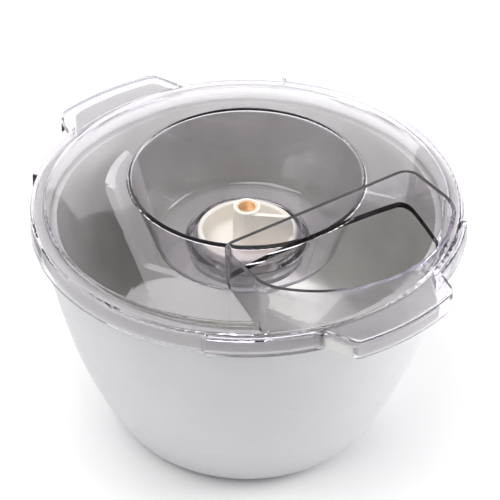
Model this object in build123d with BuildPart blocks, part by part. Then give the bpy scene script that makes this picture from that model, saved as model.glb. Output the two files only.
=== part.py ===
from build123d import *

# Ice cream maker: a freezer bowl with a clear lid, a drive hub and a churning paddle.
# Frame: origin at the centre of the foot's underside, +Z up, +X through one of the two
# handles, under the feed chute. Lengths are in millimetres and angles in degrees.

import os
from math import asin, cos, degrees, hypot, radians, sin, sqrt

os.makedirs("parts", exist_ok=True)

# ---- driving dimensions ----
GAP = 0.3                    # between neighbouring pieces that don't grip each other
FIT = 0.15                   # between the clamped pieces of the rim

# white outer shell: (radius, height) of its outside, from the foot to the rim
SHELL_OUTSIDE = [(70.0, 0.0), (75.8, 4.0), (84.0, 17.0), (96.3, 45.0),
                 (107.0, 80.0), (114.0, 112.0), (119.2, 137.8)]
SHELL_WALL = 2.6
SHELL_FLOOR = (10.0, 12.5)   # underside and top of the shell's floor
FOOT_INNER_R = 66.5
SHELF_Z = 136.9              # shelf inside the shell's rim, which carries the clamped flanges
SHELF_R = (113.0, 116.9)

# aluminium bowl
BOWL_MOUTH = (107.4, 140.9)  # inner radius and height at the mouth
BOWL_FLOOR_Z = 33.2
BOWL_SLOPE = 0.30            # radius gained per millimetre of height
BOWL_WALL = 1.2
BOWL_CORNER = 24.0
FLANGE_R = 116.4             # outer radius of the clamped flanges

# tank behind the bowl, which holds the freezing gel
TANK_MOUTH_R = 110.8
TANK_FLANGE_Z = (137.05, 138.2)
TANK_SLOPE = 0.24
TANK_FLOOR_Z = 18.8
TANK_WALL = 1.5
TANK_CORNER = 22.0
PLUG_R = 6.0

# grey rim ring and its handles
RING_R = 120.2
RING_Z = (138.0, 147.2)
RING_LIP = (110.9, 144.0)    # inner edge of the sloped top
HANDLE_R = 136.8
HANDLE_ROOT = (112.0, 41.3)  # distance along X and half width where the handle leaves the ring
HANDLE_TIP_HALF_ANGLE = 12.2
HANDLE_Z = (138.0, 145.4)
HANDLE_WALL = 2.4

# clear lid
LID_WALL = 2.2
SKIRT_FOOT_R = 123.4
SHOULDER = (122.3, 150.9)
WELL_RIM = (65.2, 167.2)
WELL_FLOOR = (50.6, 123.9)
COLLAR_R = 30.6              # hole that the hub's cup turns in
COLLAR_Z = 127.6
SEAT_Z = (111.4, 113.5)      # ring that the hub rests on
SEAT_HOLE_R = 14.2
BAND_HALF_ANGLE = 45.0       # the skirt stands further out for this angle each side of a tab
BAND_R = 125.6
MARK_PROUD = 3.2             # small ribs at the ends of the wider skirt
TAB_R = 139.8
TAB_TURN = 2.0
TAB_ROOT = (112.5, 41.9)
TAB_TIP_HALF_ANGLE = 14.3
TAB_PLATE_Z = (147.8, 150.0)
TAB_LIP_Z = 138.2
TAB_END_LIP_Z = 145.5

# feed chute of the lid: a D in plan, with the flat side against the well
CHUTE_TURN = -2.0
CHUTE_TOP_Z = 184.5
CHUTE_FOOT_Z = 149.6
CHUTE_BACK = 65.4            # distance of the flat side from the axis
CHUTE_FOOT = (0.0, 121.0, 62.0)   # centre and radius of the front arc, half width
CHUTE_MOUTH = (64.0, 76.0, 63.6)
CHUTE_BACK_CORNER = 9.0
CHUTE_FRONT_CORNER = (5.0, 25.0)

# drive hub
HUB_R = 28.2
HUB_RIM_Z = 129.0
HUB_FLOOR_Z = (113.8, 117.2)
HUB_WALL = 3.3
TUBE_R = 7.8
TUBE_TOP_Z = 144.5
TUBE_BORE_R = 5.95
BUSH_R = (5.0, 5.9)
BUSH_Z = (117.0, 144.0)
BUSH_FLOOR_Z = 139.5          # bottom of the blind bore
SPIGOT_R = 13.8
SPIGOT_SQUARE = 13.4
SPIGOT_Z = (96.5, 111.0)
VANE_TURN = 53.4             # direction of the wall in the cup, which the mixer's arm pushes
VANE_THICK = 2.6
VANE_TOP_Z = (143.6, 141.6)  # at the tube and at the cup's wall

# paddle
PADDLE_TURN = 208.4
COLUMN_R = 10.5
HEAD_R = 16.0
HEAD_Z = (96.0, 110.7)
WEB_THICK = 5.0
PADDLE_FOOT_Z = 33.5
WEB_FOOT_Z = 37.0
WEB_TOP_Z = 80.0
WING_TOP_Z = 131.5
SWEEP_BACK = 20.0            # angle over which each vane runs back towards the wall

# base plate with the mixer's bayonet socket
BASE_Z = (7.2, 9.8)
SOCKET_R = (50.0, 53.0)
SOCKET_FOOT_Z = 1.0
LUG_COUNT = 4
SCREW_COUNT = 4
SCREW_CIRCLE_R = 59.5
SCREW_R = 1.9
SCREW_HEAD_R = 3.6
SCREW_HEAD_H = 2.2
SCREW_TOP_Z = 15.6
BOSS_R = 4.4
BOSS_TOP_Z = 16.9


def turned(*corners, start=0.0, sweep=360.0, mode=Mode.ADD):
    """Turn a closed half outline about Z; each corner is (radius, height, rounding)."""
    c = cos(radians(start))
    s = sin(radians(start))
    with BuildSketch(Plane(origin=(0, 0, 0), x_dir=(c, s, 0), z_dir=(s, -c, 0))) as outline:
        with BuildLine():
            FilletPolyline([(r, z) for r, z, _ in corners],
                           radius=[rounding for _, _, rounding in corners], close=True)
        make_face()
    revolve(outline.sketch, axis=Axis.Z, revolution_arc=sweep, mode=mode)


def inset(outline, gap):
    """Move each point of an outline inwards, square to the line through its neighbours."""
    moved = []
    for i, (r, z) in enumerate(outline):
        r0, z0 = outline[max(i - 1, 0)]
        r1, z1 = outline[min(i + 1, len(outline) - 1)]
        length = hypot(r1 - r0, z1 - z0)
        moved.append((r - gap * (z1 - z0) / length, z + gap * (r1 - r0) / length))
    return moved


def cup(floor_z, mouth_r, mouth_z, slope, corner, top_z, mode=Mode.ADD):
    """A solid round cup shape: flat floor, rounded corner and a straight sloping wall."""
    turned((0, floor_z, 0),
           (mouth_r - slope * (mouth_z - floor_z), floor_z, corner),
           (mouth_r + slope * (top_z - mouth_z), top_z, 0),
           (0, top_z, 0), mode=mode)


def keep(builder, name):
    """Label a finished piece and write it to its own file."""
    builder.part.label = name
    export_step(builder.part, f"parts/{name}.step")


def at_angle(radius, angle):
    """A point in plan at this distance from the axis."""
    return (radius * cos(radians(angle)), radius * sin(radians(angle)))


# ---- outer shell: white moulding with a recessed floor ----
inner_wall = inset(SHELL_OUTSIDE, SHELL_WALL)[2:-1]
with BuildPart() as outer_shell:
    with BuildSketch(Plane.XZ):
        with BuildLine():
            Spline(SHELL_OUTSIDE)
            Polyline(SHELL_OUTSIDE[-1], (SHELF_R[1], SHELL_OUTSIDE[-1][1]), (SHELF_R[1], SHELF_Z),
                     (SHELF_R[0], SHELF_Z), (SHELF_R[0], SHELF_Z - 3), inner_wall[-1])
            Spline(inner_wall)
            Polyline(inner_wall[0], (inner_wall[0][0] - 6, SHELL_FLOOR[1]), (0, SHELL_FLOOR[1]),
                     (0, SHELL_FLOOR[0]), (FOOT_INNER_R, SHELL_FLOOR[0]), (FOOT_INNER_R, 0),
                     SHELL_OUTSIDE[0])
        make_face()
    revolve(axis=Axis.Z)
    with BuildSketch(Plane.XY.offset(SHELL_FLOOR[1] - 1)):
        with PolarLocations(SCREW_CIRCLE_R, SCREW_COUNT, start_angle=45):
            Circle(BOSS_R)
    extrude(amount=BOSS_TOP_Z - SHELL_FLOOR[1] + 1)
    with BuildSketch(Plane.XY.offset(SHELL_FLOOR[0])):
        with PolarLocations(SCREW_CIRCLE_R, SCREW_COUNT, start_angle=45):
            Circle(SCREW_R + 0.05)
    extrude(amount=SCREW_TOP_Z + 0.3 - SHELL_FLOOR[0], mode=Mode.SUBTRACT)
keep(outer_shell, "outer_shell")

# ---- insulation: foam between the shell and the tank ----
foam_wall = inset(SHELL_OUTSIDE, SHELL_WALL + GAP)[2:-1]
FOAM_TOP_Z = 130.0
with BuildPart() as insulation_foam:
    with BuildSketch(Plane.XZ):
        with BuildLine():
            Spline(foam_wall)
            Polyline(foam_wall[-1], (0, foam_wall[-1][1]), (0, SHELL_FLOOR[1] + GAP),
                     (foam_wall[0][0] - 6.5, SHELL_FLOOR[1] + GAP), foam_wall[0])
        make_face()
    revolve(axis=Axis.Z)
    cup(TANK_FLOOR_Z - TANK_WALL - GAP, TANK_MOUTH_R + TANK_WALL + GAP, TANK_FLANGE_Z[0],
        TANK_SLOPE, TANK_CORNER + TANK_WALL, FOAM_TOP_Z, mode=Mode.SUBTRACT)
    with BuildSketch(Plane.XY.offset(SHELL_FLOOR[1])):
        with PolarLocations(SCREW_CIRCLE_R, SCREW_COUNT, start_angle=45):
            Circle(BOSS_R + GAP)
        Circle(PLUG_R + 4)
    extrude(amount=BOSS_TOP_Z + GAP - SHELL_FLOOR[1], mode=Mode.SUBTRACT)
keep(insulation_foam, "insulation_foam")

# ---- gel tank: thin inner moulding with a flange and a filling hole ----
with BuildPart() as gel_tank:
    cup(TANK_FLOOR_Z - TANK_WALL, TANK_MOUTH_R + TANK_WALL, TANK_FLANGE_Z[0],
        TANK_SLOPE, TANK_CORNER + TANK_WALL, TANK_FLANGE_Z[1])
    turned((0, TANK_FLANGE_Z[0], 0), (FLANGE_R, TANK_FLANGE_Z[0], 0),
           (FLANGE_R, TANK_FLANGE_Z[1], 0), (0, TANK_FLANGE_Z[1], 0))
    cup(TANK_FLOOR_Z, TANK_MOUTH_R, TANK_FLANGE_Z[0], TANK_SLOPE, TANK_CORNER,
        TANK_FLANGE_Z[1] + 1, mode=Mode.SUBTRACT)
    with BuildSketch(Plane.XY.offset(TANK_FLOOR_Z - TANK_WALL)):
        Circle(PLUG_R)
    extrude(amount=TANK_WALL, mode=Mode.SUBTRACT)
keep(gel_tank, "gel_tank")

# ---- filler plug: rubber bung pressed into the tank's floor from below ----
with BuildPart() as filler_plug:
    turned((0, SHELL_FLOOR[1] + 2, 0), (PLUG_R + 2.5, SHELL_FLOOR[1] + 2, 0.8),
           (PLUG_R + 2.5, TANK_FLOOR_Z - TANK_WALL - 0.1, 0),
           (PLUG_R - 0.1, TANK_FLOOR_Z - TANK_WALL - 0.1, 0), (PLUG_R - 0.1, TANK_FLOOR_Z + 0.5, 0),
           (PLUG_R - 1.2, TANK_FLOOR_Z + 2, 0), (0, TANK_FLOOR_Z + 2, 0))
keep(filler_plug, "filler_plug")

# ---- freezing gel: sealed between the bowl and the tank ----
BOWL_OUTER_MOUTH_R = BOWL_MOUTH[0] + BOWL_WALL * sqrt(1 + BOWL_SLOPE ** 2)
GEL_TOP_Z = 134.0
with BuildPart() as cooling_gel:
    cup(TANK_FLOOR_Z + GAP, TANK_MOUTH_R - GAP, TANK_FLANGE_Z[0], TANK_SLOPE, TANK_CORNER, GEL_TOP_Z)
    cup(BOWL_FLOOR_Z - BOWL_WALL - GAP, BOWL_OUTER_MOUTH_R + GAP, BOWL_MOUTH[1], BOWL_SLOPE,
        BOWL_CORNER + BOWL_WALL, GEL_TOP_Z + 1, mode=Mode.SUBTRACT)
    with BuildSketch(Plane.XY.offset(TANK_FLOOR_Z)):
        Circle(PLUG_R + 1)
    extrude(amount=3, mode=Mode.SUBTRACT)
keep(cooling_gel, "cooling_gel")

# ---- inner bowl: spun aluminium with a turned-out flange ----
FLANGE_TOP_Z = BOWL_MOUTH[1]
with BuildPart() as inner_bowl:
    cup(BOWL_FLOOR_Z - BOWL_WALL, BOWL_OUTER_MOUTH_R, BOWL_MOUTH[1], BOWL_SLOPE,
        BOWL_CORNER + BOWL_WALL, FLANGE_TOP_Z)
    turned((0, FLANGE_TOP_Z - BOWL_WALL, 0), (FLANGE_R, FLANGE_TOP_Z - BOWL_WALL, 0),
           (FLANGE_R, FLANGE_TOP_Z, 0), (0, FLANGE_TOP_Z, 0))
    cup(BOWL_FLOOR_Z, BOWL_MOUTH[0], BOWL_MOUTH[1], BOWL_SLOPE, BOWL_CORNER,
        FLANGE_TOP_Z + 1, mode=Mode.SUBTRACT)
keep(inner_bowl, "inner_bowl")

# ---- seals: one under the bowl's flange and one over it ----
with BuildPart() as gel_seal:
    turned((111.8, TANK_FLANGE_Z[1] + FIT, 0), (FLANGE_R, TANK_FLANGE_Z[1] + FIT, 0),
           (FLANGE_R, FLANGE_TOP_Z - BOWL_WALL - FIT, 0), (111.8, FLANGE_TOP_Z - BOWL_WALL - FIT, 0))
keep(gel_seal, "gel_seal")

RIM_SEAL_TOP_Z = 142.3
with BuildPart() as rim_seal:
    turned((112.2, FLANGE_TOP_Z + FIT, 0.3), (FLANGE_R - 0.1, FLANGE_TOP_Z + FIT, 0.3),
           (FLANGE_R - 0.1, RIM_SEAL_TOP_Z, 0.3), (112.2, RIM_SEAL_TOP_Z, 0.3))
keep(rim_seal, "rim_seal")


# ---- rim ring: grey moulding that clamps the stack, with two hollow handles ----
def handle_plan(height, half_turn, grow, corner_radius):
    """Outline of one handle, grown all round; the root lies inside the ring's leg."""
    tip_r = HANDLE_R + grow
    corner = at_angle(tip_r, HANDLE_TIP_HALF_ANGLE + degrees(grow / tip_r))
    root = (HANDLE_ROOT[0], HANDLE_ROOT[1] + grow)
    with BuildSketch(Plane(origin=(0, 0, height), x_dir=at_angle(1, half_turn) + (0,),
                           z_dir=(0, 0, 1))) as plan:
        with BuildLine():
            Polyline((corner[0], -corner[1]), (root[0], -root[1]), root, corner)
            ThreePointArc(corner, (tip_r, 0), (corner[0], -corner[1]))
        make_face()
        fillet(plan.vertices().sort_by(Axis.X)[-2:], radius=corner_radius)
        Circle(RING_R - 2, mode=Mode.SUBTRACT)
    return plan.sketch


with BuildPart() as rim_ring:
    turned((RING_R, RING_Z[0], 0.5), (RING_R, RING_Z[1], 1.6), (118.0, RING_Z[1], 1.5),
           (RING_LIP[0] + 0.8, RING_LIP[1] + 0.4, 0.6), (RING_LIP[0], RING_LIP[1] - 0.4, 0.5),
           (RING_LIP[0], RIM_SEAL_TOP_Z + FIT, 0.3),
           (FLANGE_R + 0.3, RIM_SEAL_TOP_Z + FIT, 0), (FLANGE_R + 0.3, RING_Z[0], 0.3))
    for half_turn in (0, 180):
        extrude(handle_plan(HANDLE_Z[0], half_turn, 0, 7), amount=HANDLE_Z[1] - HANDLE_Z[0])
    handle_tops = rim_ring.faces().filter_by(
        lambda face: abs(face.center().Z - HANDLE_Z[1]) < 0.01 and abs(face.center().X) > RING_R)
    fillet(handle_tops.edges().filter_by(
        lambda edge: hypot(edge.center().X, edge.center().Y) > RING_R + 1), radius=1.5)
    # each handle is open underneath, with two stiffening ribs
    for half_turn in (0, 180):
        hollow = extrude(handle_plan(HANDLE_Z[0], half_turn, -HANDLE_WALL, 5),
                         amount=HANDLE_Z[1] - HANDLE_Z[0] - HANDLE_WALL, mode=Mode.PRIVATE)
        leg = Cylinder(RING_R, 60, align=(Align.CENTER, Align.CENTER, Align.CENTER), mode=Mode.PRIVATE)
        leg = leg.moved(Location((0, 0, HANDLE_Z[0])))
        for side in (-1, 1):
            rib = Box(60, HANDLE_WALL, 40, mode=Mode.PRIVATE)
            rib = rib.moved(Location(at_angle(RING_R + 12, half_turn + side * 5.5) + (HANDLE_Z[0],),
                                     (0, 0, half_turn)))
            hollow = hollow - rib
        add(hollow - leg, mode=Mode.SUBTRACT)
keep(rim_ring, "rim_ring")


# ---- lid: one clear moulding with a skirt, a dome, a well, two tabs and a chute ----
def chute_plan(height, front, front_corner, margin):
    """The chute's outline at one height, drawn smaller by the margin."""
    centre, radius, half_width = front
    side = half_width - margin
    reach = radius - margin
    corner_x = centre + sqrt(reach ** 2 - side ** 2)
    back = CHUTE_BACK + margin
    with BuildSketch(Plane(origin=(0, 0, height), x_dir=at_angle(1, CHUTE_TURN) + (0,),
                           z_dir=(0, 0, 1))) as plan:
        with BuildLine():
            Polyline((corner_x, side), (back, side), (back, -side), (corner_x, -side))
            ThreePointArc((corner_x, -side), (centre + reach, 0), (corner_x, side))
        make_face()
        fillet(plan.vertices().sort_by(Axis.X)[:2], radius=CHUTE_BACK_CORNER - margin)
        fillet(plan.vertices().sort_by(Axis.X)[-2:], radius=front_corner - margin)
    return plan.sketch


def chute_solid(margin, mode=Mode.ADD):
    """The chute's volume from its foot to its mouth, drawn smaller by the margin."""
    loft([chute_plan(CHUTE_FOOT_Z, CHUTE_FOOT, CHUTE_FRONT_CORNER[0], margin),
          chute_plan(CHUTE_TOP_Z, CHUTE_MOUTH, CHUTE_FRONT_CORNER[1], margin)],
         ruled=True, mode=mode)


# corners of the lid's outside, from the skirt over the dome and down into the well
DOME_STEP = (114.4, 153.6)
DOME_SHOULDER = (95.0, 163.2)
DOME_ROUNDING = 90.0

with BuildPart() as chute_wall:
    chute_solid(0)
    chute_solid(LID_WALL, mode=Mode.SUBTRACT)
    turned((0, 100, 0), (DOME_STEP[0] - 1.2, 100, 0), (DOME_STEP[0] - 1.2, DOME_STEP[1] - 2, 0),
           (DOME_SHOULDER[0] - 0.5, DOME_SHOULDER[1] - 1.5, DOME_ROUNDING - 1),
           (WELL_RIM[0] + 1.2, WELL_RIM[1] - 1.5, 0), (0, WELL_RIM[1] - 1.5, 0), mode=Mode.SUBTRACT)

with BuildPart() as lid:
    turned((SKIRT_FOOT_R, TAB_LIP_Z - 0.2, 0), (*SHOULDER, 1.6), (DOME_STEP[0] + 0.8, SHOULDER[1], 0.7),
           (*DOME_STEP, 0.7), (*DOME_SHOULDER, DOME_ROUNDING), (WELL_RIM[0] + 2.6, WELL_RIM[1] - 0.2, 1.2),
           (*WELL_RIM, 0.7), (*WELL_FLOOR, 3.5), (COLLAR_R + 4.8, WELL_FLOOR[1], 1.0),
           (COLLAR_R + 2.2, COLLAR_Z, 0.6), (COLLAR_R, COLLAR_Z, 0.5), (COLLAR_R, SEAT_Z[1], 0.8),
           (SEAT_HOLE_R, SEAT_Z[1], 0.3), (SEAT_HOLE_R, SEAT_Z[0], 0.3),
           (COLLAR_R + LID_WALL, SEAT_Z[0], 1.0), (COLLAR_R + LID_WALL, WELL_FLOOR[1] - 2.1, 1.0),
           (WELL_FLOOR[0] + 1.6, WELL_FLOOR[1] - 2.1, 5.0), (WELL_RIM[0] + 1.5, WELL_RIM[1] - 2.6, 1.2),
           (DOME_SHOULDER[0] - 0.8, DOME_SHOULDER[1] - 2.3, DOME_ROUNDING - 2),
           (DOME_STEP[0] - 1.5, DOME_STEP[1] - 2.2, 0.7), (DOME_STEP[0] - 1.1, SHOULDER[1] - 2.2, 0.7),
           (SHOULDER[0] - 1.6, SHOULDER[1] - 2.2, 0.8), (SKIRT_FOOT_R - LID_WALL, TAB_LIP_Z - 0.2, 0))
    # the skirt stands further out around the handles, with a small rib at each end
    for middle in (CHUTE_TURN, CHUTE_TURN + 180):
        turned((SHOULDER[0] - 0.7, 149.0, 0), (BAND_R - 0.6, 149.0, 1.2), (BAND_R, 138.4, 0),
               (BAND_R - 1.8, 138.4, 0), (BAND_R - 2.2, 147.2, 0), (SHOULDER[0] - 0.5, 147.2, 0),
               start=middle - BAND_HALF_ANGLE, sweep=2 * BAND_HALF_ANGLE)
    for corner in range(4):
        with BuildSketch(Plane(origin=(*at_angle(SHOULDER[0] - 0.8, CHUTE_TURN + 45 + 90 * corner), 0),
                               x_dir=at_angle(1, CHUTE_TURN + 135 + 90 * corner) + (0,),
                               z_dir=at_angle(1, CHUTE_TURN + 45 + 90 * corner) + (0,))):
            with Locations((0, 145.4)):
                SlotOverall(11.0, 2.6, rotation=90)
        extrude(amount=MARK_PROUD)
    # room for the ring's handles
    for half_turn in (0, 180):
        extrude(handle_plan(HANDLE_Z[0] - 2, half_turn, 1.0, 7),
                amount=TAB_PLATE_Z[0] - HANDLE_Z[0] + 2, mode=Mode.SUBTRACT)
    add(chute_wall.part)
    extrude(chute_plan(CHUTE_FOOT_Z - 6, CHUTE_FOOT, CHUTE_FRONT_CORNER[0], LID_WALL), amount=6,
            mode=Mode.SUBTRACT)
    chute_solid(LID_WALL, mode=Mode.SUBTRACT)
    # tabs over the handles: a plate with a deep lip at the tip and shallow lips at the ends
    for half_turn in (TAB_TURN, TAB_TURN + 180):
        tip = at_angle(TAB_R, TAB_TIP_HALF_ANGLE)
        inner_tip = at_angle(TAB_R - LID_WALL, TAB_TIP_HALF_ANGLE - 1)
        frame = dict(x_dir=at_angle(1, half_turn) + (0,), z_dir=(0, 0, 1))
        with BuildSketch(Plane(origin=(0, 0, TAB_LIP_Z), **frame)) as plan:
            with BuildLine():
                Polyline((tip[0], -tip[1]), (TAB_ROOT[0], -TAB_ROOT[1]), TAB_ROOT, tip)
                ThreePointArc(tip, (TAB_R, 0), (tip[0], -tip[1]))
            make_face()
            fillet(plan.vertices().sort_by(Axis.X)[-2:], radius=6)
            Circle(SHOULDER[0] - 1.2, mode=Mode.SUBTRACT)
        tab = extrude(amount=TAB_PLATE_Z[1] - TAB_LIP_Z, mode=Mode.PRIVATE)
        with BuildSketch(Plane(origin=(0, 0, TAB_LIP_Z), **frame)) as inside:
            with BuildLine():
                Polyline((inner_tip[0], -inner_tip[1]), (TAB_ROOT[0], LID_WALL - TAB_ROOT[1]),
                         (TAB_ROOT[0], TAB_ROOT[1] - LID_WALL), inner_tip)
                ThreePointArc(inner_tip, (TAB_R - LID_WALL, 0), (inner_tip[0], -inner_tip[1]))
            make_face()
            fillet(inside.vertices().sort_by(Axis.X)[-2:], radius=4)
        room = extrude(amount=TAB_PLATE_Z[0] - TAB_LIP_Z, mode=Mode.PRIVATE)
        with BuildSketch(Plane(origin=(0, 0, TAB_LIP_Z), **frame)):
            Circle(TAB_R - LID_WALL + 0.3)
        below_ends = extrude(amount=TAB_END_LIP_Z - TAB_LIP_Z, mode=Mode.PRIVATE)
        add(tab - room - below_ends)
keep(lid, "lid")

# ---- drive hub: cream moulding that drops into the lid from above ----
with BuildPart() as drive_hub:
    turned((0, SPIGOT_Z[1], 0), (SPIGOT_R, SPIGOT_Z[1], 0.4), (SPIGOT_R, HUB_FLOOR_Z[0], 0.3),
           (HUB_R, HUB_FLOOR_Z[0], 1.2), (HUB_R, HUB_RIM_Z, 1.5), (HUB_R - HUB_WALL, HUB_RIM_Z, 1.5),
           (HUB_R - HUB_WALL, HUB_FLOOR_Z[1], 1.5), (TUBE_R + 0.4, HUB_FLOOR_Z[1], 1.5),
           (TUBE_R, TUBE_TOP_Z, 0.8), (TUBE_BORE_R, TUBE_TOP_Z, 0.5),
           (TUBE_BORE_R, BUSH_Z[0] - 0.2, 0), (0, BUSH_Z[0] - 0.2, 0))
    # the driving wall runs from the tube's side to the cup, and stands above the cup's rim
    side = at_angle(1, VANE_TURN)
    with BuildSketch(Plane(origin=(*at_angle(TUBE_R - 0.3, VANE_TURN - 90), 0), x_dir=(*side, 0),
                           z_dir=(side[1], -side[0], 0))):
        with BuildLine():
            FilletPolyline((0, HUB_FLOOR_Z[1] - 1), (HUB_R - 2.6, HUB_FLOOR_Z[1] - 1),
                           (HUB_R - 2.6, VANE_TOP_Z[1] - 6), (HUB_R - 4.6, VANE_TOP_Z[1]),
                           (0, VANE_TOP_Z[0]), radius=[0, 0, 2, 3, 0], close=True)
        make_face()
    wall = extrude(amount=-VANE_THICK, mode=Mode.PRIVATE)
    add(wall - Cylinder(TUBE_BORE_R + 0.7, 2 * TUBE_TOP_Z, mode=Mode.PRIVATE))
    with BuildSketch(Plane.XY.offset(SPIGOT_Z[0])):
        RectangleRounded(SPIGOT_SQUARE, SPIGOT_SQUARE, 1.5)
    extrude(amount=SPIGOT_Z[1] - SPIGOT_Z[0] + 0.5)
keep(drive_hub, "drive_hub")

# ---- hub bush: brass insert with a blind bore, in the hub's tube ----
with BuildPart() as hub_bush:
    turned((0, BUSH_Z[0], 0), (BUSH_R[1], BUSH_Z[0], 0.3), (BUSH_R[1], BUSH_Z[1], 0.2),
           (BUSH_R[0], BUSH_Z[1], 0), (BUSH_R[0], BUSH_FLOOR_Z, 0), (0, BUSH_FLOOR_Z, 0))
keep(hub_bush, "hub_bush")


# ---- paddle: column, a web on each side and a swept vane at the end of each web ----
def vane_plan(height, front, rear, turn):
    """One vane in plan: the front end on the web, the rear end close to the bowl's wall."""
    front_in, front_out = front
    rear_in, rear_out = rear
    back = turn - SWEEP_BACK
    middle = turn - 0.5 * SWEEP_BACK
    with BuildSketch(Plane.XY.offset(height)) as plan:
        with BuildLine():
            Line(at_angle(front_in, turn), at_angle(front_out, turn))
            ThreePointArc(at_angle(front_out, turn), at_angle(0.5 * (front_out + rear_out) + 1, middle),
                          at_angle(rear_out, back))
            Line(at_angle(rear_out, back), at_angle(rear_in, back))
            ThreePointArc(at_angle(rear_in, back), at_angle(0.5 * (front_in + rear_in) + 1, middle),
                          at_angle(front_in, turn))
        make_face()
    return plan.sketch


def web_outline(*corners, turn):
    """A flat web from the column outwards; each corner is (radius, height, rounding)."""
    c, s = at_angle(1, turn)
    with BuildSketch(Plane(origin=(0, 0, 0), x_dir=(c, s, 0), z_dir=(s, -c, 0))) as outline:
        with BuildLine():
            FilletPolyline([(r, z) for r, z, _ in corners],
                           radius=[rounding for _, _, rounding in corners], close=True)
        make_face()
    extrude(outline.sketch, amount=WEB_THICK / 2, both=True)


VANE_FOOT_Z = 45.0
with BuildPart() as paddle:
    turned((0, PADDLE_FOOT_Z, 0), (COLUMN_R, PADDLE_FOOT_Z, 3), (COLUMN_R, HEAD_Z[0] - 5, 3),
           (HEAD_R, HEAD_Z[0], 2), (HEAD_R, HEAD_Z[1], 1), (0, HEAD_Z[1], 0))
    web_outline((0, WEB_FOOT_Z, 0), (54.0, WEB_FOOT_Z, 12), (91.0, WING_TOP_Z, 2.5),
                (84.5, WING_TOP_Z, 2.5), (66.0, WEB_TOP_Z, 3), (0, WEB_TOP_Z, 0), turn=PADDLE_TURN)
    loft([vane_plan(VANE_FOOT_Z, (52.0, 56.5), (71.0, 74.2), PADDLE_TURN),
          vane_plan(WING_TOP_Z, (84.5, 91.0), (97.6, 101.0), PADDLE_TURN)], ruled=True)
    web_outline((0, WEB_FOOT_Z, 0), (54.0, WEB_FOOT_Z, 12), (66.0, 66.0, 3), (58.0, 66.0, 3),
                (0, WEB_TOP_Z - 4, 0), turn=PADDLE_TURN + 180)
    loft([vane_plan(VANE_FOOT_Z, (52.0, 56.5), (71.0, 74.2), PADDLE_TURN + 180),
          vane_plan(66.0, (58.0, 65.0), (77.6, 81.0), PADDLE_TURN + 180)], ruled=True)
    with BuildSketch(Plane.XY.offset(SPIGOT_Z[0] - 1)):
        RectangleRounded(SPIGOT_SQUARE + 2 * GAP, SPIGOT_SQUARE + 2 * GAP, 1.8)
    extrude(amount=HEAD_Z[1] - SPIGOT_Z[0] + 1, mode=Mode.SUBTRACT)
keep(paddle, "paddle")

# ---- base plate: closes the foot's recess and carries the mixer's bayonet socket ----
with BuildPart() as base_plate:
    turned((0, BASE_Z[0], 0), (SOCKET_R[0], BASE_Z[0], 0), (SOCKET_R[0], SOCKET_FOOT_Z, 0.5),
           (SOCKET_R[1], SOCKET_FOOT_Z, 0.5), (SOCKET_R[1], BASE_Z[0], 0.5),
           (FOOT_INNER_R - GAP, BASE_Z[0], 0.4), (FOOT_INNER_R - GAP, BASE_Z[1], 0), (0, BASE_Z[1], 0))
    for lug in range(LUG_COUNT):
        turned((SOCKET_R[0] - 3.5, SOCKET_FOOT_Z + 0.5, 0.4), (SOCKET_R[0] + 1, SOCKET_FOOT_Z + 0.5, 0),
               (SOCKET_R[0] + 1, SOCKET_FOOT_Z + 3, 0), (SOCKET_R[0] - 3.5, SOCKET_FOOT_Z + 3, 0.4),
               start=lug * 360 / LUG_COUNT - 9, sweep=18)
    with BuildSketch(Plane.XY.offset(BASE_Z[0])):
        with PolarLocations(SCREW_CIRCLE_R, SCREW_COUNT, start_angle=45):
            Circle(SCREW_R + 0.25)
    extrude(amount=BASE_Z[1] - BASE_Z[0], mode=Mode.SUBTRACT)
keep(base_plate, "base_plate")

# ---- base screws: four pan heads with a cross recess ----
with BuildPart() as base_screws:
    with BuildSketch(Plane.XY.offset(BASE_Z[0] - SCREW_HEAD_H)):
        with PolarLocations(SCREW_CIRCLE_R, SCREW_COUNT, start_angle=45):
            Circle(SCREW_HEAD_R)
    extrude(amount=SCREW_HEAD_H)
    fillet(base_screws.edges().group_by(Axis.Z)[0], radius=0.9)
    with BuildSketch(Plane.XY.offset(BASE_Z[0])):
        with PolarLocations(SCREW_CIRCLE_R, SCREW_COUNT, start_angle=45):
            Circle(SCREW_R)
    extrude(amount=SCREW_TOP_Z - BASE_Z[0])
    with BuildSketch(Plane.XY.offset(BASE_Z[0] - SCREW_HEAD_H)):
        with PolarLocations(SCREW_CIRCLE_R, SCREW_COUNT, start_angle=45):
            Rectangle(4.0, 0.8)
            Rectangle(0.8, 4.0)
    extrude(amount=1.3, mode=Mode.SUBTRACT)
keep(base_screws, "base_screws")
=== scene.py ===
import math

import bpy
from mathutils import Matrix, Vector

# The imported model: an ice cream maker whose bowl, lid, paddle and drive hub are its four bodies.
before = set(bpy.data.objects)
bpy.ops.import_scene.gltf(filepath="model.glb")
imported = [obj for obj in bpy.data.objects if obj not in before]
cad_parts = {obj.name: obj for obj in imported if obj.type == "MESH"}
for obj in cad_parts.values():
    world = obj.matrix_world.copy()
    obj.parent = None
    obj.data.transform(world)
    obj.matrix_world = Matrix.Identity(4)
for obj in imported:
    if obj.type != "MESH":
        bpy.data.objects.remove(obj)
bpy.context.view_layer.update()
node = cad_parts


# ---- outer shell ----
# The white outer wall of the freezer bowl: one injection moulding in semi-gloss white plastic, with
# a recess under its foot. It carries the rim ring and everything clamped under it.

# places of a colour Mix node's sockets, and of the object coordinates among a Texture Coordinate's
MIX_FACTOR, MIX_FIRST, MIX_SECOND, MIX_RESULT = 0, 6, 7, 2
OBJECT_COORDINATES = 3


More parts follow.
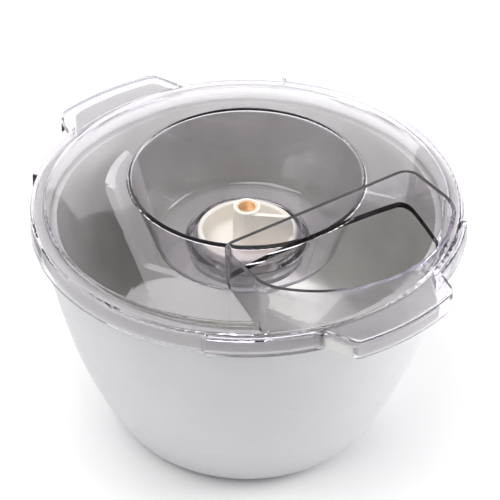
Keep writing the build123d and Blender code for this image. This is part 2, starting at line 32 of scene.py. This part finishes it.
class Val:
    """A socket whose value is worked out with Python operators; each one adds a Math node."""

    def __init__(self, shader, socket):
        self.shader = shader
        self.socket = socket

    def _math(self, operation, first, second):
        return self.shader.node("ShaderNodeMath", {"operation": operation}, {0: first, 1: second})[0]

    def __add__(self, other):
        return self._math("ADD", self, other)

    def __mul__(self, other):
        return self._math("MULTIPLY", self, other)

    def __pow__(self, other):
        return self._math("POWER", self, other)


class Finish:
    """A material for one real finish: its shader, and one method that adds any other node."""

    def __init__(self, name, **constants):
        self.material = bpy.data.materials.new(name)
        self.material.use_nodes = True
        self.tree = self.material.node_tree
        self.shader = next(n for n in self.tree.nodes if n.type == "BSDF_PRINCIPLED")
        self.output = next(n for n in self.tree.nodes if n.type == "OUTPUT_MATERIAL")
        for key, value in constants.items():
            self.shader.inputs[key.replace("_", " ")].default_value = value

    def node(self, kind, settings=None, inputs=None):
        """Adds a node, sets its settings first and then its sockets, and returns its outputs."""
        made = self.tree.nodes.new(kind)
        for key, value in (settings or {}).items():
            setattr(made, key, value)
        for key, value in (inputs or {}).items():
            if isinstance(value, Val):
                self.tree.links.new(value.socket, made.inputs[key])
            else:
                made.inputs[key].default_value = value
        return [Val(self, output) for output in made.outputs]

    def place(self):
        """Object coordinates, in metres from the middle of the foot."""
        return self.node("ShaderNodeTexCoord")[OBJECT_COORDINATES]

    def noise(self, scale, detail=2.0):
        """Fractal noise from 0 to 1, with this many waves to the metre."""
        return self.node("ShaderNodeTexNoise", {"noise_dimensions": "3D"},
                         {"Vector": self.place(), "Scale": scale, "Detail": detail})[0]

    def span(self, value, low, high, to_low=0.0, to_high=1.0):
        """Maps the range from low to high smoothly to the range from to_low to to_high."""
        return self.node("ShaderNodeMapRange", {"interpolation_type": "SMOOTHSTEP"},
                         {"Value": value, "From Min": low, "From Max": high,
                          "To Min": to_low, "To Max": to_high})[0]

    def blend(self, factor, first, second):
        """Mixes two colours."""
        mixed = self.node("ShaderNodeMix", {"data_type": "RGBA"},
                          {MIX_FACTOR: factor, MIX_FIRST: (*first, 1.0), MIX_SECOND: (*second, 1.0)})
        return mixed[MIX_RESULT]

    def feed(self, socket, value):
        """Links a worked-out value to a socket of the main shader."""
        self.tree.links.new(value.socket, self.shader.inputs[socket])

    def bump(self, height, strength, distance):
        """Turns a height into the shader's normal; distance is the depth in metres."""
        normal = self.node("ShaderNodeBump", None,
                           {"Height": height, "Strength": strength, "Distance": distance})[0]
        self.feed("Normal", normal)


def dress(name, finish):
    """Gives a CAD node its finish."""
    mesh = node[name].data
    mesh.materials.clear()
    mesh.materials.append(finish.material)


white = Finish("shell_white", IOR=1.5)
cloud = white.span(white.noise(14.0, 3.0), 0.35, 0.65)
white.feed("Base Color", white.blend(cloud, (0.57, 0.57, 0.587), (0.60, 0.60, 0.612)))
white.feed("Roughness", white.span(white.noise(90.0), 0.3, 0.7, 0.28, 0.36))
white.bump(white.noise(420.0, 1.0), 0.12, 0.00012)
dress("outer_shell", white)

# ---- base plate and its screws ----
# The plate under the bowl: a fine-grained white moulding held by four plated screws. Its socket
# takes the mixer's bayonet.
under = Finish("base_white", Roughness=0.5)
under.feed("Base Color", under.blend(under.noise(60.0, 4.0), (0.72, 0.72, 0.74), (0.78, 0.78, 0.80)))
under.bump(under.noise(1800.0, 2.0), 0.35, 0.00008)
dress("base_plate", under)

plated = Finish("screw_steel", Metallic=1.0)
plated.feed("Base Color", plated.blend(plated.noise(900.0, 3.0), (0.50, 0.50, 0.51), (0.62, 0.62, 0.64)))
plated.feed("Roughness", plated.span(plated.noise(1500.0), 0.3, 0.7, 0.22, 0.42))
dress("base_screws", plated)

# ---- insulation, gel tank, gel, plug and seals ----
# The hidden filling of the bowl's wall: rigid foam, a thin white tank, the blue freezing gel with
# the bung that closes its filling hole, and a silicone seal on each side of the bowl's flange.
foam = Finish("foam", Roughness=0.9)
cells = foam.node("ShaderNodeTexVoronoi", {"feature": "F1"},
                  {"Vector": foam.place(), "Scale": 700.0})[0]
foam.feed("Base Color", foam.blend(cells, (0.85, 0.80, 0.60), (0.74, 0.68, 0.46)))
foam.bump(cells, 0.6, 0.0004)
dress("insulation_foam", foam)

tank = Finish("tank_white", Roughness=0.55)
tank.feed("Base Color", tank.blend(tank.noise(40.0), (0.76, 0.77, 0.79), (0.82, 0.83, 0.85)))
dress("gel_tank", tank)

gel = Finish("gel", Roughness=0.2)
gel.feed("Base Color", gel.blend(gel.noise(35.0, 5.0), (0.16, 0.38, 0.62), (0.30, 0.55, 0.78)))
dress("cooling_gel", gel)

bung = Finish("plug_rubber", Roughness=0.75)
bung.feed("Base Color", bung.blend(bung.noise(300.0), (0.03, 0.03, 0.03), (0.05, 0.05, 0.052)))
dress("filler_plug", bung)

silicone = Finish("seal_rubber", Roughness=0.6)
speckle = silicone.noise(200.0)
silicone.feed("Base Color", silicone.blend(speckle, (0.72, 0.72, 0.70), (0.78, 0.78, 0.76)))
dress("gel_seal", silicone)
dress("rim_seal", silicone)

# ---- inner bowl ----
# The bowl that freezes the mix: spun aluminium with a satin anodised face. Fine rings from the
# spinning tool run round it.
spun = Finish("bowl_aluminium", Metallic=0.8)
axes = spun.node("ShaderNodeSeparateXYZ", None, {"Vector": spun.place()})
radius = (axes[0] * axes[0] + axes[1] * axes[1]) ** 0.5
path = radius + axes[2]
rings = spun.node("ShaderNodeTexNoise", {"noise_dimensions": "1D"},
                  {"W": path, "Scale": 2200.0, "Detail": 3.0})[0]
bloom = spun.span(spun.noise(22.0, 4.0), 0.3, 0.7)
spun.feed("Base Color", spun.blend(bloom, (0.66, 0.655, 0.63), (0.80, 0.795, 0.77)))
spun.feed("Roughness", spun.span(rings, 0.3, 0.7, 0.36, 0.5))
spun.bump(rings, 0.25, 0.00005)
dress("inner_bowl", spun)

# ---- rim ring ----
# The grey ring that clamps the bowl's flange to the shell, with a handle on each side: one
# fine-grained moulding.
grey = Finish("ring_grey")
grain = grey.noise(1500.0, 2.0)
grey.feed("Base Color", grey.blend(grey.noise(30.0, 3.0), (0.68, 0.675, 0.655), (0.72, 0.715, 0.695)))
grey.feed("Roughness", grey.span(grain, 0.3, 0.7, 0.38, 0.52))
grey.bump(grain, 0.3, 0.00008)
dress("rim_ring", grey)

# ---- paddle ----
# The churning paddle: one moulding in frosted, milky plastic, which lets a little light through
# its webs.
frost = Finish("paddle_frosted", IOR=1.49, Transmission_Weight=0.08)
milk = frost.noise(45.0, 3.0)
frost.feed("Base Color", frost.blend(milk, (0.93, 0.92, 0.90), (0.97, 0.96, 0.94)))
frost.feed("Roughness", frost.span(frost.noise(700.0), 0.3, 0.7, 0.34, 0.48))
frost.bump(frost.noise(1600.0, 2.0), 0.25, 0.00006)
dress("paddle", frost)

# ---- drive hub ----
# The cream acetal hub that the mixer turns: a cup with an upright driving wall, and a central tube
# with a blind brass insert pressed into it.
acetal = Finish("hub_cream")
acetal.feed("Base Color", acetal.blend(acetal.noise(50.0, 3.0), (0.86, 0.81, 0.75), (0.91, 0.87, 0.81)))
acetal.feed("Roughness", acetal.span(acetal.noise(600.0), 0.3, 0.7, 0.36, 0.48))
acetal.bump(acetal.noise(1200.0), 0.2, 0.00006)
dress("drive_hub", acetal)

brass = Finish("bush_brass", Metallic=0.7)
height = brass.node("ShaderNodeSeparateXYZ", None, {"Vector": brass.place()})[2]
turning = brass.node("ShaderNodeTexNoise", {"noise_dimensions": "1D"},
                     {"W": height, "Scale": 6000.0})[0]
brass.feed("Base Color", brass.blend(turning, (0.86, 0.62, 0.40), (0.92, 0.74, 0.54)))
brass.feed("Roughness", brass.span(turning, 0.3, 0.7, 0.22, 0.4))
dress("hub_bush", brass)

# ---- lid ----
# The clear lid: one moulding with the skirt, dome, well, tabs and feed chute, in polished plastic
# with a faint lilac tint that shows in its edges.
clear = Finish("lid_clear", IOR=1.47, Transmission_Weight=1.0, Base_Color=(0.985, 0.975, 0.99, 1.0))
clear.feed("Roughness", clear.span(clear.noise(60.0, 3.0), 0.3, 0.7, 0.0, 0.05))
tint = clear.tree.nodes.new("ShaderNodeVolumeAbsorption")
tint.inputs["Color"].default_value = (0.50, 0.40, 0.62, 1.0)
tint.inputs["Density"].default_value = 26.0
clear.tree.links.new(tint.outputs[0], clear.output.inputs["Volume"])
dress("lid", clear)

# ---- floor, light and camera ----
# A plain white floor, soft lights behind, above on the left and on the right, surroundings that
# darken upwards and towards the camera's side, and a camera that looks down on the well. Turns
# and rises are in degrees.
FLOOR_HALF = 4.0
FLOOR_DROP = 0.0002
floor_finish = Finish("floor_white", Roughness=0.9)
floor_finish.feed("Base Color", floor_finish.blend(floor_finish.noise(3.0), (0.93, 0.93, 0.935),
                                                   (0.95, 0.95, 0.955)))
corners = [(x * FLOOR_HALF, y * FLOOR_HALF, 0) for x, y in ((-1, -1), (1, -1), (1, 1), (-1, 1))]
floor_mesh = bpy.data.meshes.new("floor")
floor_mesh.from_pydata(corners, [], [(0, 1, 2, 3)])
floor_mesh.materials.append(floor_finish.material)
floor = bpy.data.objects.new("floor", floor_mesh)
bpy.context.scene.collection.objects.link(floor)
floor.location.z = -FLOOR_DROP

CAMERA_TURN = -36.6
CAMERA_RISE = 37.6
CAMERA_REACH = 1.3
LOOK_AT = (0.0, 0.0, 0.1129)


def around(turn, rise, reach):
    """A point at this turn and rise, and this distance from the point looked at."""
    flat = reach * math.cos(math.radians(rise))
    return (LOOK_AT[0] + flat * math.cos(math.radians(turn)),
            LOOK_AT[1] + flat * math.sin(math.radians(turn)),
            LOOK_AT[2] + reach * math.sin(math.radians(rise)))


def aim(obj):
    """Points an object's -Z at the point looked at."""
    direction = Vector(LOOK_AT) - obj.location
    obj.rotation_euler = direction.to_track_quat("-Z", "Y").to_euler()


def softbox(name, turn, rise, reach, size, power):
    """A rectangular area light; turn is measured from the camera, to the right of the view."""
    lamp = bpy.data.lights.new(name, "AREA")
    lamp.shape = "RECTANGLE"
    lamp.size, lamp.size_y = size
    lamp.energy = power
    obj = bpy.data.objects.new(name, lamp)
    bpy.context.scene.collection.objects.link(obj)
    obj.location = around(CAMERA_TURN + turn, rise, reach)
    aim(obj)


softbox("back_light", 185.0, 22.0, 2.0, (2.2, 1.5), 12.0)
softbox("top_light", -50.0, 68.0, 1.8, (1.6, 1.6), 28.0)
softbox("right_fill", 95.0, 16.0, 1.6, (0.9, 1.2), 20.0)

# The surroundings' strength is the product of two ramps: one over how far up a direction points,
# one over how far it points to the camera's side. Each is (from, to, strength at from, at to).
BY_HEIGHT = (0.15, 0.75, 1.15, 0.4)
BY_FACING = (0.0, 0.85, 1.0, 0.35)
world = bpy.data.worlds.new("studio")
world.use_nodes = True
nodes = world.node_tree.nodes
link = world.node_tree.links.new
sky = next(n for n in nodes if n.type == "BACKGROUND")
sky.inputs["Color"].default_value = (1.0, 1.0, 1.0, 1.0)
way = nodes.new("ShaderNodeTexCoord")
up = nodes.new("ShaderNodeSeparateXYZ")
facing = nodes.new("ShaderNodeVectorMath")
facing.operation = "DOT_PRODUCT"
facing.inputs[1].default_value = (math.cos(math.radians(CAMERA_TURN)),
                                  math.sin(math.radians(CAMERA_TURN)), 0.0)
both = nodes.new("ShaderNodeMath")
both.operation = "MULTIPLY"
link(way.outputs["Generated"], up.inputs[0])
link(way.outputs["Generated"], facing.inputs[0])
for slot, source, limits in ((0, up.outputs["Z"], BY_HEIGHT), (1, facing.outputs["Value"], BY_FACING)):
    fade = nodes.new("ShaderNodeMapRange")
    fade.interpolation_type = "SMOOTHSTEP"
    for key, value in zip(("From Min", "From Max", "To Min", "To Max"), limits):
        fade.inputs[key].default_value = value
    link(source, fade.inputs["Value"])
    link(fade.outputs[0], both.inputs[slot])
link(both.outputs[0], sky.inputs["Strength"])
bpy.context.scene.world = world
bpy.context.scene.view_settings.view_transform = "Standard"

lens = bpy.data.cameras.new("camera")
lens.lens = 162.6
lens.sensor_width = 36.0
lens.shift_x = 0.0062
lens.clip_start = 0.05
lens.clip_end = 50.0
camera = bpy.data.objects.new("camera", lens)
bpy.context.scene.collection.objects.link(camera)
camera.location = around(CAMERA_TURN, CAMERA_RISE, CAMERA_REACH)
aim(camera)
bpy.context.scene.camera = camera
